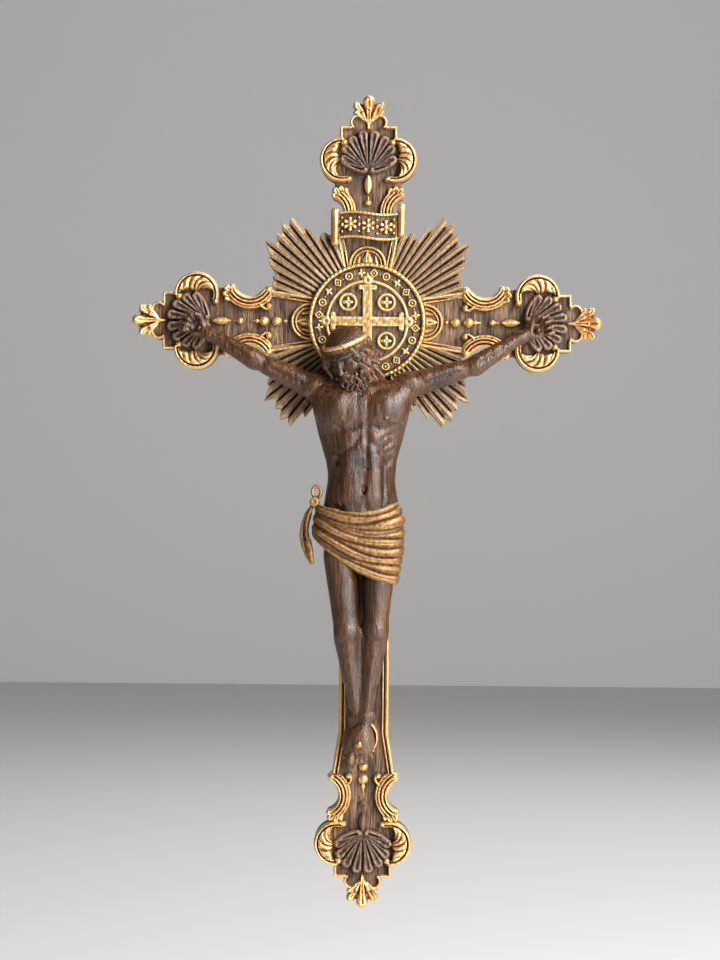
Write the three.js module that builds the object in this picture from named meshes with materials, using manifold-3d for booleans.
// A carved and gilded wall crucifix, 300 mm tall: a vertical-grain wooden cross whose four ends
// carry shells, scrolls and leaf finials, a rayed glory and a round medallion at the crossing, a
// scroll tablet above it, and a separately carved figure pinned to the front.
// Millimetres. +Z is up and the front faces -Y. The origin is on the flat back, behind the crossing.
import * as THREE from "three";
import { mergeVertices } from "three/addons/utils/BufferGeometryUtils.js";
import Module from "manifold-3d";

const wasm = await Module();
wasm.setup();

// ---- driving dimensions ----------------------------------------------------------------------
const BOARD = 9; // thickness of the cross boards
const FACE = -BOARD; // the boards' front plane
const BAR = 9.3; // half-width of the bars beside the medallion
const KNOB_HALF = 12.2; // half-width of the bars where they meet the necks
const BASE = { side: 60.8, top: 57.6, bottom: 190.4 }; // crossing to each shell's root
const NECK = { at: -17.4, off: 14.8, inner: 5.9, outer: 10.4 }; // the hollow curve of a neck
const KNOB = { from: -25.7, at: -24.4, off: 12.3, r: 1.6 }; // where a bar ends in a small ball
const VOLUTE = { at: 2.66, off: 10.5, r: 7.4 }; // the round C scroll beside a shell
const EAR = { at: 16.1, off: 4.1, r: 2.8 }; // the small round lobe below the finial
const STEP = { from: 10.6, to: 14.7, half: 10.6 }; // the square shoulder
const TIP = 26; // shell root to finial tip
const RIM_WIDTH = 1.1;
const HEIGHT = { rim: 1.6, frame: 2.6, edge: 2.2, shell: 2.6, lunette: 1.6, leaf: 3 };
const MEDALLION = { r: 21.6, disc: 2.6, rim: 3.6, ring: 14.8 };
const GLORY = { back: -1.5, front: -7, pad: 20.5 };
const TABLET = { half: 10.4, low: 30.2, high: 40, back: FACE - 2.2, thick: 2 };
const BODY_Y = -16.5; // mid-depth of the torso
const GAP = 0.3; // glue line and clearance between carved pieces
const CORPUS_BACK = FACE - 0.02; // the figure's flat back, seated on the upright
const DOWEL = { r: 2, hole: 2.1, half: 26, off: 5 };
const SHANK = 0.7; // nail shank radius
const SHANK_HOLE = 0.85;
const BOTTOM_EDGE_START = 99; // below the loincloth
const ARMS = { right: 0, top: -Math.PI / 2, left: Math.PI, bottom: Math.PI / 2 }; // turns about Y

// ---- materials -------------------------------------------------------------------------------
const finish = (color, roughness, metalness = 0) =>
  new THREE.MeshStandardMaterial({ color, roughness, metalness });
const WOOD = finish(0x7d6552, 0.6);
const FIGURE = finish(0x6a4730, 0.45);
const RAYS = finish(0x9c8158, 0.55);
const GILT = finish(0xd9a855, 0.38, 0.7);
const STEEL = finish(0x8d9094, 0.35, 1);
const BRASS = finish(0xb08a45, 0.35, 1);
const DOWEL_WOOD = finish(0xb89468, 0.7);

// ---- solids ----------------------------------------------------------------------------------
function solid(geometry) {
  const bare = geometry.clone();
  bare.deleteAttribute("normal");
  bare.deleteAttribute("uv");
  const merged = mergeVertices(bare, 1e-4);
  return new wasm.Manifold(
    new wasm.Mesh({
      numProp: 3,
      vertProperties: merged.attributes.position.array,
      triVerts: new Uint32Array(merged.index.array),
    }),
  );
}

function geometryOf(made) {
  const mesh = made.getMesh();
  const geometry = new THREE.BufferGeometry();
  geometry.setAttribute("position", new THREE.BufferAttribute(mesh.vertProperties, 3));
  geometry.setIndex(new THREE.BufferAttribute(mesh.triVerts, 1));
  geometry.computeVertexNormals();
  return geometry;
}

const join = (...solids) => solids.reduce((all, next) => all.add(next));
const cut = (first, ...tools) => tools.reduce((left, tool) => left.subtract(tool), first);

function polar(r, degrees) {
  const a = (degrees * Math.PI) / 180;
  return [r * Math.cos(a), r * Math.sin(a)];
}

// Points of an arc in degrees, both ends included.
function arc(x, y, r, from, to, steps = 8) {
  return Array.from({ length: steps + 1 }, (_, i) => {
    const [dx, dy] = polar(r, from + ((to - from) * i) / steps);
    return [x + dx, y + dy];
  });
}

const mirrored = (half) => [...half, ...half.map(([x, y]) => [x, -y]).reverse()];
const shifted = (points, dx) => points.map(([x, y]) => [x + dx, y]);

// An outline drawn in X and Z, raised from the plane y = back towards the front.
function relief(points, back, height) {
  const shape = new THREE.Shape(points.map(([x, y]) => new THREE.Vector2(x, y)));
  const geometry = new THREE.ExtrudeGeometry(shape, { depth: height, bevelEnabled: false });
  return solid(geometry.rotateX(Math.PI / 2).translate(0, back, 0));
}

// A strip of even width along a path.
function stroke(path, width) {
  const side = (sign) =>
    path.map(([x, y], i) => {
      const [ax, ay] = path[Math.max(0, i - 1)];
      const [bx, by] = path[Math.min(path.length - 1, i + 1)];
      const length = Math.hypot(bx - ax, by - ay);
      const offset = (sign * width) / 2 / length;
      return [x - (by - ay) * offset, y + (bx - ax) * offset];
    });
  return [...side(-1), ...side(1).reverse()];
}

// A cylinder along Y from y0 to y1.
function pin(x, z, r, y0, y1, sides = 12) {
  const geometry = new THREE.CylinderGeometry(r, r, Math.abs(y1 - y0), sides);
  return solid(geometry.translate(x, (y0 + y1) / 2, z));
}

// A dome sitting on the boards: the front half of an ellipsoid.
function dome(x, z, rx, rz, ry, back = FACE, sides = 8) {
  const ball = new THREE.SphereGeometry(1, sides, 4).scale(rx, ry, rz).translate(x, back, z);
  return solid(ball).intersect(slab(back - 20, back));
}

// Everything between two planes y = y0 and y = y1.
function slab(y0, y1) {
  return solid(new THREE.BoxGeometry(600, y1 - y0, 600).translate(0, (y0 + y1) / 2, 0));
}

// A round-ended limb from a to b whose radius runs through the list of radii.
function bone(a, b, radii, grow = 0, sides = 8) {
  const from = new THREE.Vector3(...a);
  const along = new THREE.Vector3(...b).sub(from);
  const length = along.length();
  const r = radii.map((value) => value + grow);
  const last = r.length - 1;
  const profile = [
    [0, -0.8 * r[0]],
    [0.7 * r[0], -0.5 * r[0]],
    ...r.map((value, i) => [value, (length * i) / last]),
    [0.7 * r[last], length + 0.5 * r[last]],
    [0, length + 0.8 * r[last]],
  ].map(([x, y]) => new THREE.Vector2(x, y));
  const turn = new THREE.Quaternion().setFromUnitVectors(
    new THREE.Vector3(0, 1, 0),
    along.normalize(),
  );
  const geometry = new THREE.LatheGeometry(profile, sides).applyQuaternion(turn);
  return solid(geometry.translate(...a));
}

// A turned body about a vertical line: [half-width, z] pairs from the bottom up, squashed in depth.
function turned(profile, x, y, depth, grow = 0, sides = 14) {
  const points = profile.map(([r, z]) => new THREE.Vector2(r ? r + grow : 0, z));
  const geometry = new THREE.LatheGeometry(points, sides).rotateX(Math.PI / 2).scale(1, depth, 1);
  return solid(geometry.translate(x, y, 0));
}

const group = new THREE.Group();

function place(name, made, material, parent = group) {
  const mesh = new THREE.Mesh(geometryOf(made), material);
  mesh.name = name;
  parent.add(mesh);
}

// ---- the cross boards ------------------------------------------------------------------------
// One end of the cross, from the neck's knob to the finial's tip, as half an outline.
function terminalHalf() {
  return [
    [KNOB.from, KNOB_HALF],
    [-24.6, 13.5],
    ...arc(NECK.at, NECK.off, NECK.inner, 190, 350, 10),
    [-10.6, 14.9],
    [-8.6, 14.4],
    [-7, 12.6],
    ...arc(VOLUTE.at, VOLUTE.off, VOLUTE.r, 168, 5, 14),
    [STEP.from, STEP.half],
    [STEP.to, STEP.half],
    [STEP.to, 6.9],
    ...arc(EAR.at, EAR.off, EAR.r, 115, -20, 6),
    ...finialSide(),
    [TIP, 0],
  ];
}

// The leaf finial's edge on one side, from the ear to just before the tip.
function finialSide() {
  return [
    [20.4, 3.4],
    [22.2, 5.6],
    [23.6, 5.4],
    [23.4, 3.4],
    [22.6, 2.2],
    [24.2, 2.3],
    [25.4, 1.5],
  ];
}

function turnedAbout(geometrySolid, angle) {
  return solid(geometryOf(geometrySolid).rotateY(angle));
}

function terminalPlate(base, angle) {
  const outline = shifted(mirrored(terminalHalf()), base);
  return turnedAbout(relief(outline, 0, BOARD), angle);
}

// A bar that widens from the medallion to the neck's knob.
function barOutline(from, wideAt, to, grow = 0) {
  return mirrored([
    [from, BAR + grow],
    [wideAt, BAR + grow],
    [to, KNOB_HALF + grow],
  ]);
}

// The room a widening bar and the knob beyond it need beside the glory.
function barRoom(wideAt, to) {
  const half = KNOB_HALF + 1.5 + GAP;
  return join(
    relief(barOutline(0, wideAt, to, GAP), 1, 20),
    relief(mirrored([[to - GAP, half], [to + 8, half]]), 1, 20),
  );
}

const armFlare = MEDALLION.r - 0.6;
const armEnd = BASE.side + KNOB.from;
const topEnd = BASE.top + KNOB.from;
const bottomEnd = BASE.bottom + KNOB.from;
const bottomFlare = 152; // the upright stays straight down to here

const dowelHoles = [DOWEL.off, -DOWEL.off].map((z) =>
  solid(
    new THREE.CylinderGeometry(DOWEL.hole, DOWEL.hole, 2 * DOWEL.half + 2, 16)
      .rotateZ(Math.PI / 2)
      .translate(0, FACE / 2, z),
  ),
);

const NAILS = {
  left_hand: { x: -61.6, z: -3.2, head: -17.9, r: 1.1, tip: -3 },
  right_hand: { x: 62.6, z: -3, head: -17.9, r: 1.1, tip: -3 },
  feet: { x: -1.8, z: -154.8, head: -21.6, r: 1.5, tip: -3 },
};
const TIP_ROOM = 0.5; // how much deeper than its nail a hole goes
const nailHoles = Object.values(NAILS).map(({ x, z, tip }) =>
  pin(x, z, SHANK_HOLE, -40, tip + TIP_ROOM),
);

const SCREWS = { upper: -34, lower: -75 }; // heights of the two screws that hold the figure
const SCREW = { head: 3, shank: 1.5, length: 16, sink: 2 };
const SCREW_ROOM = 0.15; // clearance round a screw in the wood
const HANGER = { z: 60, half: 13, height: 7, thick: 1, pocket: 3, pins: 11, pinZ: 61 };
const HANGER_PIN = { head: 1.6, shank: 0.7, length: 6, sink: 0.6 };
const HANGER_SEAT = 1.4; // radius of the wood left in the pocket behind each pin

// A countersunk screw driven from the back, or with grow the hole it sits in.
function screw(x, z, { head, shank, length, sink }, grow = 0) {
  const profile = [
    [0, grow ? 1 : 0],
    [head + grow, grow ? 1 : 0],
    [head + grow, 0],
    [shank + grow, -sink],
    [shank + grow, -length + shank - grow],
    [0, -length - grow],
  ].map(([r, y]) => new THREE.Vector2(r, y));
  return solid(new THREE.LatheGeometry(profile.reverse(), 14).translate(x, 0, z));
}

const figureScrews = (grow) => Object.values(SCREWS).map((z) => screw(0, z, SCREW, grow));
const hangerPinHoles = [-1, 1].map((side) =>
  screw(side * HANGER.pins, HANGER.pinZ, HANGER_PIN, 0.1),
);

// The pocket in the upright's back, with a seat left in it for each end of the hanger strip.
function hangerPocket() {
  const room = new THREE.BoxGeometry(2 * HANGER.half + 2, HANGER.pocket + 1, HANGER.height + 2);
  const seats = [-1, 1].map((side) =>
    pin(side * HANGER.pins, HANGER.pinZ, HANGER_SEAT, -HANGER.pocket - 0.2, -HANGER.thick),
  );
  return cut(solid(room.translate(0, (1 - HANGER.pocket) / 2, HANGER.z)), ...seats);
}

function makeBoards() {
  const uprightBar = relief(
    [
      [-KNOB_HALF, -bottomEnd],
      [KNOB_HALF, -bottomEnd],
      [BAR, -bottomFlare],
      [BAR, armFlare],
      [KNOB_HALF, topEnd],
      [-KNOB_HALF, topEnd],
      [-BAR, armFlare],
      [-BAR, -bottomFlare],
    ],
    0,
    BOARD,
  );
  const upright = join(
    uprightBar,
    terminalPlate(BASE.top, ARMS.top),
    terminalPlate(BASE.bottom, ARMS.bottom),
  );
  const holes = [
    ...dowelHoles,
    ...nailHoles,
    ...figureScrews(SCREW_ROOM),
    hangerPocket(),
    ...hangerPinHoles,
  ];
  place("upright", cut(upright, ...holes), WOOD);
  for (const side of ["left", "right"]) {
    const bar = relief(barOutline(BAR, armFlare, armEnd), 0, BOARD);
    const board = join(turnedAbout(bar, ARMS[side]), terminalPlate(BASE.side, ARMS[side]));
    place(side + "_arm_board", cut(board, ...dowelHoles, ...nailHoles), WOOD);
  }
}

function makeDowels() {
  for (const [name, z] of [["upper", DOWEL.off], ["lower", -DOWEL.off]]) {
    const rod = new THREE.CylinderGeometry(DOWEL.r, DOWEL.r, 2 * DOWEL.half, 16);
    place(
      "crossing_dowel_" + name,
      solid(rod.rotateZ(Math.PI / 2).translate(0, FACE / 2, z)),
      DOWEL_WOOD,
    );
  }
}

// ---- the glory: four fans of rays in the corners of the cross --------------------------------
// Ray ends in one corner as [degrees from the arm, distance from the crossing].
const RAY_ENDS = [
  [18, 37],
  [25.3, 38.9],
  [32.8, 44.4],
  [38, 48.6],
  [39.7, 44.2],
  [44, 46.8],
  [46.5, 46.2],
  [49, 48.5],
  [52.1, 47.1],
  [54.1, 47.9],
  [54.7, 41.9],
  [57.5, 42],
  [57.8, 35.7],
  [64.7, 37.2],
  [70, 33.5],
  [74, 30.5],
];

function makeGlory() {
  const ends = RAY_ENDS.map(([degrees, r]) => polar(r, degrees));
  const plate = relief([[0, 0], ...ends], GLORY.back, GLORY.back - GLORY.front);
  const pad = relief([[0, 0], ...arc(0, 0, GLORY.pad, 10, 80, 6)], GLORY.back, BOARD + GLORY.back);
  const arms = barRoom(armFlare, armEnd);
  const uprightTop = turnedAbout(barRoom(armFlare, topEnd), ARMS.top);
  const straight = relief(
    [
      [0, 0],
      [BAR + GAP, 0],
      [BAR + GAP, 70],
      [0, 70],
    ],
    1,
    20,
  );
  const fan = join(plate, pad);
  const corners = {
    upper_right: [cut(fan, arms, uprightTop), 1, 1],
    upper_left: [cut(fan, arms, uprightTop), -1, 1],
    lower_right: [cut(fan, arms, straight), 1, -1],
    lower_left: [cut(fan, arms, straight), -1, -1],
  };
  for (const [corner, [made, sx, sz]] of Object.entries(corners)) {
    const mesh = new THREE.Mesh(geometryOf(made), RAYS);
    mesh.name = "glory_" + corner;
    mesh.scale.set(sx, 1, sz);
    group.add(mesh);
  }
}

// ---- the medallion ---------------------------------------------------------------------------
const ROUNDEL = { off: 7.1, r: 3.5, height: 1 };
const MEDAL_CROSS = { half: 1.85, reach: 14, knob: 2.1, height: 1.2 };

function medalLathe(profile, sides = 32) {
  const points = profile.map(([r, y]) => new THREE.Vector2(r, FACE - y));
  return solid(new THREE.LatheGeometry(points.reverse(), sides));
}

function makeMedallion() {
  const disc = medalLathe([
    [0, 0],
    [MEDALLION.r, 0],
    [MEDALLION.r, MEDALLION.rim],
    [MEDALLION.r - 1.4, MEDALLION.rim],
    [MEDALLION.r - 1.6, MEDALLION.disc],
    [0, MEDALLION.disc],
  ]);
  const top = FACE - MEDALLION.disc;
  const { off, r } = ROUNDEL;
  const bosses = [[off, off], [off, -off], [-off, off], [-off, -off]].map(([x, z]) =>
    pin(x, z, r, top + 0.5, top - ROUNDEL.height),
  );
  place("medallion_disc", join(disc, ...bosses), WOOD);

  const ring = medalLathe([
    [MEDALLION.ring - 0.6, MEDALLION.disc],
    [MEDALLION.ring + 0.6, MEDALLION.disc],
    [MEDALLION.ring + 0.6, MEDALLION.disc + 0.9],
    [MEDALLION.ring - 0.6, MEDALLION.disc + 0.9],
    [MEDALLION.ring - 0.6, MEDALLION.disc],
  ]);
  const { half, reach, knob, height } = MEDAL_CROSS;
  const bar = relief([[-reach, -half], [reach, -half], [reach, half], [-reach, half]], top, height);
  const knobs = [0, 90, 180, 270].map((degrees) =>
    pin(...polar(reach, degrees), knob, top, top - height),
  );
  place("medallion_cross", join(ring, bar, turnedAbout(bar, Math.PI / 2), ...knobs), GILT);
}

// ---- the scroll tablet -----------------------------------------------------------------------
function makeTablet() {
  const { half, low, high, back, thick } = TABLET;
  const wave = (z) =>
    [-1, -0.6, -0.2, 0.2, 0.6, 1].map((s) => [s * half, z + 0.55 * Math.sin(-2.6 * s)]);
  const panel = relief([...wave(low), ...wave(high).reverse()], back, thick);
  const roll = (x, z0, z1) =>
    solid(
      new THREE.CylinderGeometry(1.75, 1.75, z1 - z0, 12)
        .rotateX(Math.PI / 2)
        .translate(x, back - 1.75, (z0 + z1) / 2),
    );
  const rolls = [roll(-half - 1.4, 28.5, 40.6), roll(half + 1.5, 32.1, 42.9)];
  place("scroll_tablet", join(panel, ...rolls).intersect(slab(back - 10, back)), GILT);
}

// ---- the ornaments of each arm ---------------------------------------------------------------
const SHELL = { flutes: 8, spread: 74, reach: 10.3, crown: 2.5 };

// A scallop: a thin plate with a scalloped rim and one raised ridge along each flute.
function shellSolid() {
  const middles = Array.from(
    { length: SHELL.flutes },
    (_, i) => -SHELL.spread + (2 * SHELL.spread * (i + 0.5)) / SHELL.flutes,
  );
  const reachAt = (middle) => SHELL.reach + SHELL.crown * polar(1, middle)[0];
  const rim = middles.flatMap((middle) =>
    [[-8, 0.93], [-3, 1], [3, 1], [8, 0.93]].map(([turn, share]) =>
      polar(reachAt(middle) * share, middle + turn),
    ),
  );
  const foot = [[-1.2, 5.6], [-2.8, 3.9], [-0.8, 0], [-2.8, -3.9], [-1.2, -5.6]];
  const plate = relief([...rim, ...foot], FACE, HEIGHT.shell - 1);
  const ridges = middles.map((middle) => {
    const tip = arc(0, 0, reachAt(middle) - 0.7, middle - 6, middle + 6, 2);
    return relief([polar(1.5, middle), ...tip], FACE, HEIGHT.shell);
  });
  return join(plate, ...ridges);
}

// The gilt frame round one end: two C scrolls, the stepped rims, the ears' rims and the finial.
function frameSolid() {
  const sides = [1, -1].map((sign) => {
    const flip = (points) => points.map(([x, y]) => [x, sign * y]);
    const raise = (path, width, height) => {
      const outline = stroke(flip(path), width);
      return relief(outline, FACE, height);
    };
    const scroll = raise(arc(VOLUTE.at, VOLUTE.off, VOLUTE.r - 0.8, 212, -6, 9), 1.5, HEIGHT.frame);
    const curl = pin(-2.3, sign * 7.3, 1.1, FACE, FACE - HEIGHT.frame, 10);
    const inner = RIM_WIDTH / 2;
    const shoulder = raise(
      [
        [8.6, STEP.half - inner],
        [STEP.to - inner, STEP.half - inner],
        [STEP.to - inner, 5.4],
      ],
      RIM_WIDTH,
      HEIGHT.rim,
    );
    const ear = raise(arc(EAR.at, EAR.off, EAR.r - inner, 132, -40, 5), RIM_WIDTH, HEIGHT.rim);
    const leaf = dome(VOLUTE.at + 0.6, sign * (VOLUTE.off + 3.4), 5.2, 2.6, 2.2);
    return join(scroll, curl, shoulder, ear, leaf);
  });
  const finial = relief(
    mirrored([[15.2, 0.4], [16.9, 1.7], [18.5, 3], ...finialSide(), [TIP, 0.2]]),
    FACE,
    HEIGHT.leaf - 0.6,
  );
  const heart = dome(21.6, 0, 4.4, 1.7, HEIGHT.leaf);
  return join(...sides, finial, heart);
}

// One neck scroll with its knob, leafy end, hook and the border that runs back to the medallion.
function edgeSolid(base, from, flareAt, sign) {
  const flip = (points) => points.map(([x, y]) => [x, sign * y]);
  const local = (points) => shifted(flip(points), base);
  const ring = [
    ...arc(NECK.at, NECK.off, NECK.inner + 0.05, 202, 338, 10),
    ...arc(NECK.at, NECK.off, NECK.outer, 322, 214, 10),
  ];
  const bracket = relief(local(ring), FACE, HEIGHT.edge);
  const knob = pin(base + KNOB.at, sign * KNOB.off, KNOB.r, FACE, FACE - HEIGHT.edge, 10);
  const leafy = pin(base - 10.2, sign * 12.2, 2.3, FACE, FACE - HEIGHT.edge, 10);
  const hook = relief(local(stroke([[-19.6, 6.2], [-22, 5], [-25, 5.2]], 1.4)), FACE, HEIGHT.rim);
  const straight = flareAt > from ? [[flareAt, BAR - 0.9]] : [];
  const path = [[from, BAR - 0.9], ...straight, [base + KNOB.at, KNOB_HALF - 0.9]];
  const border = relief(flip(stroke(path, 1.6)), FACE, HEIGHT.rim);
  return join(bracket, knob, leafy, hook, border);
}

// Beads and a seed in a row down the middle of a neck, on a thin stem.
function beadSolid(base, first) {
  const beads = [
    [-30.2, 0.7],
    [-26.6, 1.7],
    [-22, 1.7],
    [-19.2, 0.9],
    [-13.6, 1.1],
  ].filter(([at]) => at >= first);
  const row = beads.map(([at, r]) => dome(base + at, 0, r, r, r));
  const seed = dome(base - 7.2, 0, 3.2, 1.2, 1.4);
  const stem = relief(stroke([[base + beads[0][0], 0], [base - 7, 0]], 0.6), FACE, 0.4);
  return join(stem, seed, ...row);
}

// A half-round lunette with a raised edge and a pointed leaf, against the medallion.
function lunetteSolid() {
  const centre = MEDALLION.r;
  const plate = relief(arc(centre, 0, 6.9, -90, 90, 10), FACE, 0.8);
  const edge = relief(stroke(arc(centre, 0, 6.3, -90, 90, 10), 1.1), FACE, HEIGHT.lunette);
  const leaf = relief([[centre, -4], [centre + 4.4, 0], [centre, 4]], FACE, 1.4);
  return cut(join(plate, edge, leaf), pin(0, 0, MEDALLION.r + 2 * GAP, 0, -20, 32));
}

// The shell of one arm; on the side arms a hand's nail goes through it.
function drilledShell(arm, base) {
  const nail = { left: NAILS.left_hand, right: NAILS.right_hand }[arm];
  if (!nail) return shellSolid();
  const up = arm === "left" ? -nail.z : nail.z;
  return cut(shellSolid(), pin(Math.abs(nail.x) - base, up, SHANK_HOLE, -40, 0));
}

function makeArmOrnaments() {
  const bases = { right: BASE.side, top: BASE.top, left: BASE.side, bottom: BASE.bottom };
  const rimClear = MEDALLION.r + 0.5;
  for (const [arm, angle] of Object.entries(ARMS)) {
    const base = bases[arm];
    const holder = new THREE.Group();
    holder.rotation.y = angle;
    group.add(holder);
    const shell = new THREE.Mesh(geometryOf(drilledShell(arm, base)), WOOD);
    shell.name = "shell_" + arm;
    const frame = new THREE.Mesh(geometryOf(frameSolid()), GILT);
    frame.name = "gilt_frame_" + arm;
    for (const mesh of [shell, frame]) {
      mesh.position.x = base;
      holder.add(mesh);
    }
    const bottom = arm === "bottom";
    const from = bottom ? BOTTOM_EDGE_START : rimClear;
    const flareAt = bottom ? bottomFlare : rimClear;
    for (const [name, sign] of [["a", 1], ["b", -1]])
      place(`edge_scroll_${arm}_${name}`, edgeSolid(base, from, flareAt, sign), GILT, holder);
    place("bead_run_" + arm, beadSolid(base, arm === "top" ? -27 : -31), GILT, holder);
    if (!bottom) place("lunette_" + arm, lunetteSolid(), GILT, holder);
  }
}

// ---- the carved figure -----------------------------------------------------------------------
const frontOnly = (made) => made.intersect(slab(-60, CORPUS_BACK));
const medallionRoom = pin(0, 0, MEDALLION.r + 0.8, 0, FACE - MEDALLION.rim - 0.2, 24);

function torsoSolid(grow = 0) {
  const profile = [
    [0, -84],
    [9, -83],
    [14.6, -77],
    [15.6, -72],
    [13.6, -65.8],
    [12.4, -58.4],
    [12.1, -52],
    [13.6, -43.6],
    [15.6, -36],
    [16.6, -30],
    [14.5, -25.5],
    [7.5, -22],
    [4.6, -20],
    [4.2, -16],
    [0, -15],
  ];
  return turned(profile, -1.4, BODY_Y, 0.52, grow);
}

const HEAD_AT = [-7.2, -22.4, -12.6];

// The bowed head: skull, beard, hair falling on both sides, and neck.
function headSolid(grow = 0) {
  const tilt = 0.43; // the crown leans to the figure's right
  const skull = new THREE.SphereGeometry(1, 14, 10)
    .scale(8.2 + grow, 8.2 + grow, 10 + grow)
    .rotateY(-tilt)
    .translate(...HEAD_AT);
  return join(
    solid(skull),
    bone([-3.6, -25, -18], [-1, -25, -24.5], [5, 3.2], grow),
    bone([-14.4, -18, -10], [-13.8, -17.4, -25], [2.6, 1.8], grow, 8),
    bone([1.4, -19.5, -10], [4.8, -20.5, -23], [3.2, 2.4], grow, 8),
    bone([-5.4, -19, -14], [-2.8, -17, -21], [4, 4], grow),
  );
}

// The rolled band round the cap.
function circletSolid() {
  const points = [
    [7.9, -0.8],
    [9.2, -0.8],
    [9.2, 0.8],
    [7.9, 0.8],
    [7.9, -0.8],
  ].map(([r, y]) => new THREE.Vector2(r, y));
  const ring = new THREE.LatheGeometry(points, 20)
    .rotateX(Math.PI / 2)
    .rotateX(0.42)
    .rotateY(-0.47)
    .translate(HEAD_AT[0] - 0.6, HEAD_AT[1] - 0.4, HEAD_AT[2] + 2.4);
  return cut(solid(ring), headSolid(0.12));
}

// A cupped hand: palm, four fingers and a thumb, reaching outwards from the wrist.
function handSolid([x, y, z], side, grow = 0) {
  const palm = new THREE.SphereGeometry(1, 8, 5)
    .scale(4.4 + grow, 1.9 + grow, 3.4 + grow)
    .translate(x, y, z);
  const fingers = [-2.4, -0.8, 0.8, 2.4].map((spread) =>
    bone(
      [x + side * 2.4, y - 0.4, z + spread],
      [x + side * 5.4, y - 2.2, z + 1.25 * spread],
      [1, 0.8],
      grow,
      6,
    ),
  );
  const thumbRoot = [x - side, y - 0.5, z + 2.6];
  const thumb = bone(thumbRoot, [x + side * 1.6, y - 2, z + 4.8], [1, 0.8], grow, 6);
  return join(solid(palm), ...fingers, thumb);
}

const WRIST = { left: [-57.6, -15.2, -5.4], right: [56.6, -15.2, -5.2] };
const HAND = { left: [-62.4, -15, -3.2], right: [63.4, -15, -3] };

function armSolid(side, grow = 0) {
  const left = side === "left";
  const shoulder = left ? [-15.6, BODY_Y - 1, -25.4] : [13.6, BODY_Y - 1, -23.8];
  const elbow = left ? [-38.2, -16.8, -15.8] : [36.4, -16.8, -18.2];
  return join(
    bone(shoulder, elbow, [4.4, 4.5, 4.2, 3.6], grow, 10),
    bone(elbow, WRIST[side], [3.6, 3.7, 3.2, 2.6], grow, 10),
    bone(WRIST[side], HAND[side], [2.5, 2.7], grow, 8),
    handSolid(HAND[side], left ? -1 : 1, grow),
  ).intersect(slab(-60, FACE - HEIGHT.shell - 0.1));
}

function legSolid(side, grow = 0) {
  const left = side === "left";
  const hip = left ? [-8, BODY_Y - 0.5, -84] : [5.6, BODY_Y - 0.5, -84];
  const knee = left ? [-7, -19.2, -113.6] : [5.4, -18.6, -113.6];
  const ankle = left ? [-4.6, -15.6, -146] : [1.4, -17.4, -144.5];
  const ball = left ? [-3.4, -13.2, -157.5] : [0.2, -17.4, -158];
  return join(
    bone(hip, knee, [6.2, 6, 5, 4.1], grow, 10),
    bone(knee, ankle, [4.1, 4.4, 3.4, 2.5], grow, 10),
    bone(ankle, ball, left ? [2.5, 2.4, 2.4] : [2.6, 2.7, 3.2], grow, 8),
  ).intersect(slab(-60, FACE - HEIGHT.rim - 0.2));
}

// Half-width and height of the cloth's turned body, from below upwards.
const CLOTH = [
  [0, -101],
  [13, -100],
  [15.6, -88],
  [17.5, -79],
  [17.6, -72],
  [15.2, -64.5],
  [0, -60],
];
const clothBody = (grow = 0) => turned(CLOTH, -2.2, BODY_Y, 0.57, grow);

// The wrapped cloth: a band round the hips, open above and below, with slanting edges.
function loinclothSolid() {
  const wedge = (left, right, far) =>
    relief([[-40, left], [40, right], [40, far], [-40, far]], 5, 60);
  const above = wedge(-68.2, -62.4, -20);
  const below = wedge(-68.6, -112.4, -160);
  const body = cut(clothBody(), above, below, torsoSolid(GAP));
  return frontOnly(cut(body, legSolid("left", GAP), legSolid("right", GAP), ...figureScrews(GAP)));
}

function knotSolid() {
  const y = -17;
  return join(
    bone([-19.6, y, -66.6], [-18.6, y - 0.6, -68.4], [1.6, 1.7], 0, 10),
    bone([-18.9, y, -65.6], [-18.2, y, -61.4], [0.9, 1.3], 0, 8),
    bone([-20.3, y, -68.6], [-22.6, y - 0.5, -78], [1.1, 1.4], 0, 8),
    bone([-22.6, y - 0.5, -78], [-19.4, y - 0.4, -88.4], [1.4, 1.1], 0, 8),
  );
}

function largestOf(made) {
  return made.decompose().sort((a, b) => b.volume() - a.volume())[0];
}

function placeFigure(name, made, material = FIGURE) {
  place(name, largestOf(made), material);
}

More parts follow.
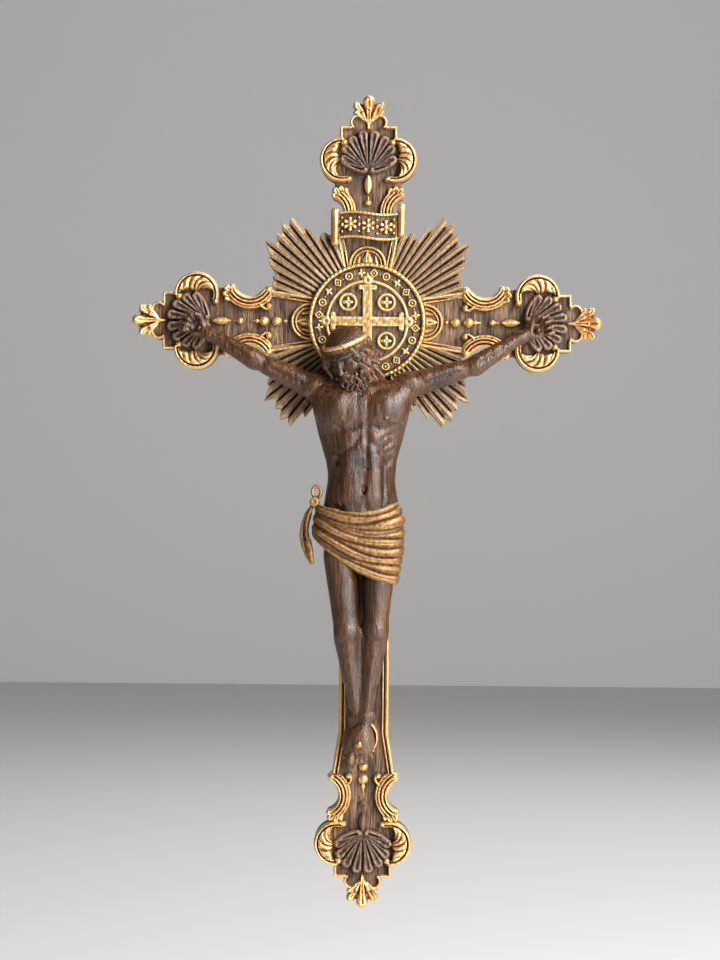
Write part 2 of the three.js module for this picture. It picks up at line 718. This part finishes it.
function makeFigure() {
  const armRoom = [armSolid("left", GAP), armSolid("right", GAP)];
  const legRoom = [legSolid("left", GAP), legSolid("right", GAP)];
  const torso = cut(frontOnly(torsoSolid()), medallionRoom, headSolid(GAP), ...armRoom, ...legRoom);
  placeFigure("corpus_torso", cut(torso, ...figureScrews(SCREW_ROOM)));
  placeFigure("corpus_head", cut(headSolid(), ...armRoom));
  placeFigure("circlet", circletSolid(), GILT);
  for (const side of ["left", "right"])
    placeFigure(`corpus_${side}_arm`, cut(armSolid(side), medallionRoom, ...nailHoles));
  placeFigure("corpus_right_leg", cut(legSolid("right"), ...nailHoles));
  placeFigure("corpus_left_leg", cut(legSolid("left"), legRoom[1], ...nailHoles));
  placeFigure("loincloth", loinclothSolid(), GILT);
  placeFigure("loincloth_knot", cut(knotSolid(), clothBody(1.3 * GAP), torsoSolid(GAP)), GILT);
}

// ---- nails, screws and the hanger ------------------------------------------------------------
function makeFixings() {
  for (const [name, { x, z, head, r, tip }] of Object.entries(NAILS)) {
    const profile = [
      [0, head - 0.7 * r],
      [0.7 * r, head - 0.5 * r],
      [r, head],
      [SHANK, head],
      [SHANK, tip - 0.8],
      [0, tip],
    ].map(([radius, y]) => new THREE.Vector2(radius, y));
    place("nail_" + name, solid(new THREE.LatheGeometry(profile, 12).translate(x, 0, z)), BRASS);
  }
  for (const [name, z] of Object.entries(SCREWS))
    place("figure_screw_" + name, screw(0, z, SCREW), STEEL);
  const strip = new THREE.BoxGeometry(2 * HANGER.half, HANGER.thick, HANGER.height);
  const foot = HANGER.z - HANGER.height / 2 - 0.5;
  const notches = [-6, -4, -2, 0, 2, 4, 6].map((x) =>
    relief([[x - 0.8, foot], [x + 0.8, foot], [x, foot + 1.4]], 1, 4),
  );
  const bar = solid(strip.translate(0, -HANGER.thick / 2, HANGER.z));
  place("hanger_strip", cut(bar, ...notches, ...hangerPinHoles), BRASS);
  for (const [name, side] of [["left", -1], ["right", 1]])
    place("hanger_pin_" + name, screw(side * HANGER.pins, HANGER.pinZ, HANGER_PIN), STEEL);
}

// The gilt crescent beside the feet.
function makeCrescent() {
  const outer = arc(-1, -155, 7.6, 78, -40, 12);
  const inner = arc(-1.5, -155, 6.4, -36, 72, 12);
  place("crescent", relief([...outer, ...inner], FACE, 2), GILT);
}

makeBoards();
makeDowels();
makeGlory();
makeMedallion();
makeTablet();
makeArmOrnaments();
makeFigure();
makeFixings();
makeCrescent();

export default group;
